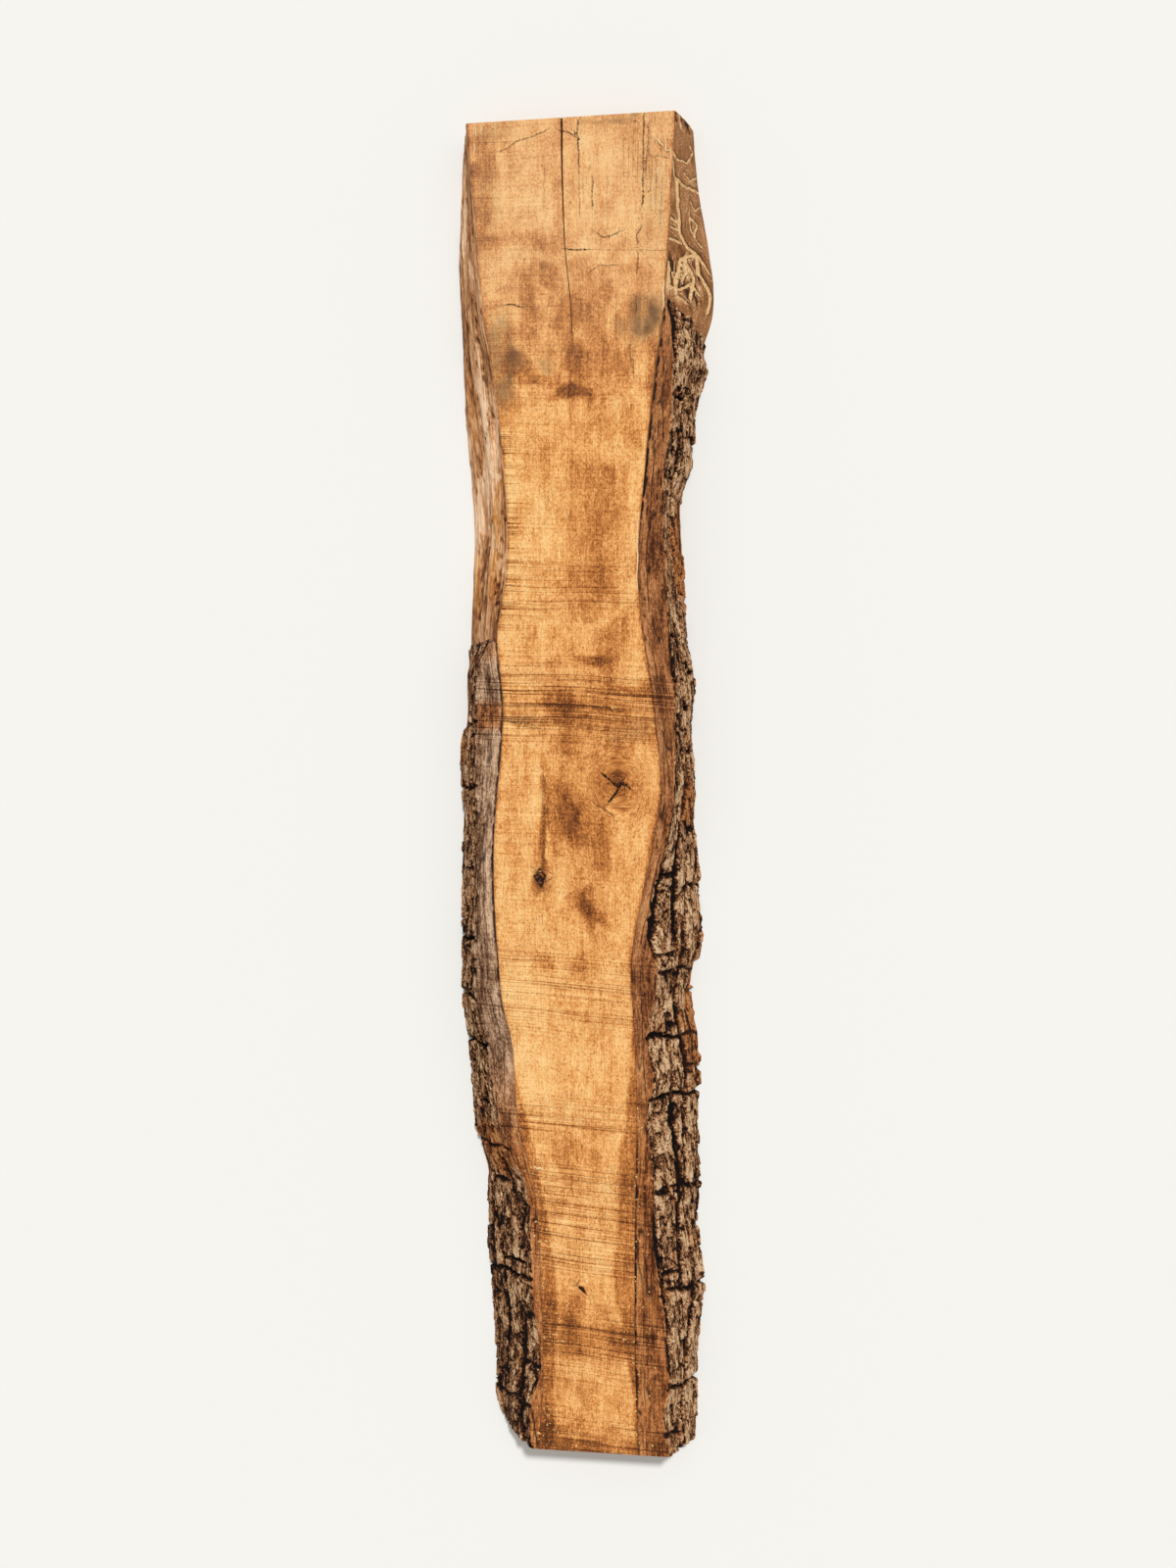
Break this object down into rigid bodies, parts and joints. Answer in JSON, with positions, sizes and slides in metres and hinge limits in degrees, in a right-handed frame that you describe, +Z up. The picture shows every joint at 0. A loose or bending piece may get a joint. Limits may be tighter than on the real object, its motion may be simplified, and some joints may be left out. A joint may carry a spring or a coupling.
{
  "type": "pecan slab",
  "caption": "Live-edge pecan slab sawn lengthways from a log, with flat sawn faces, square ends, furrowed bark on part of each edge and a drying check in the wider end.",
  "frame": {"origin": "under the middle of the slab, on the plane of its wide sawn face", "axes": "+Y along the grain towards the end with the drying check, +Z up out of the narrow sawn face, +X towards the edge with the longer strip of bark"},
  "size_m": [0.4321, 2.184, 0.064],
  "materials": {
    "pecan_wood": "rough bandsawn, dry and unfinished",
    "pecan_bark": "dry, furrowed and flaking"
  },
  "bodies": {
    "root": {"wood": "pecan_wood", "bark_left": "pecan_bark", "bark_right": "pecan_bark"}
  },
  "joints": []
}
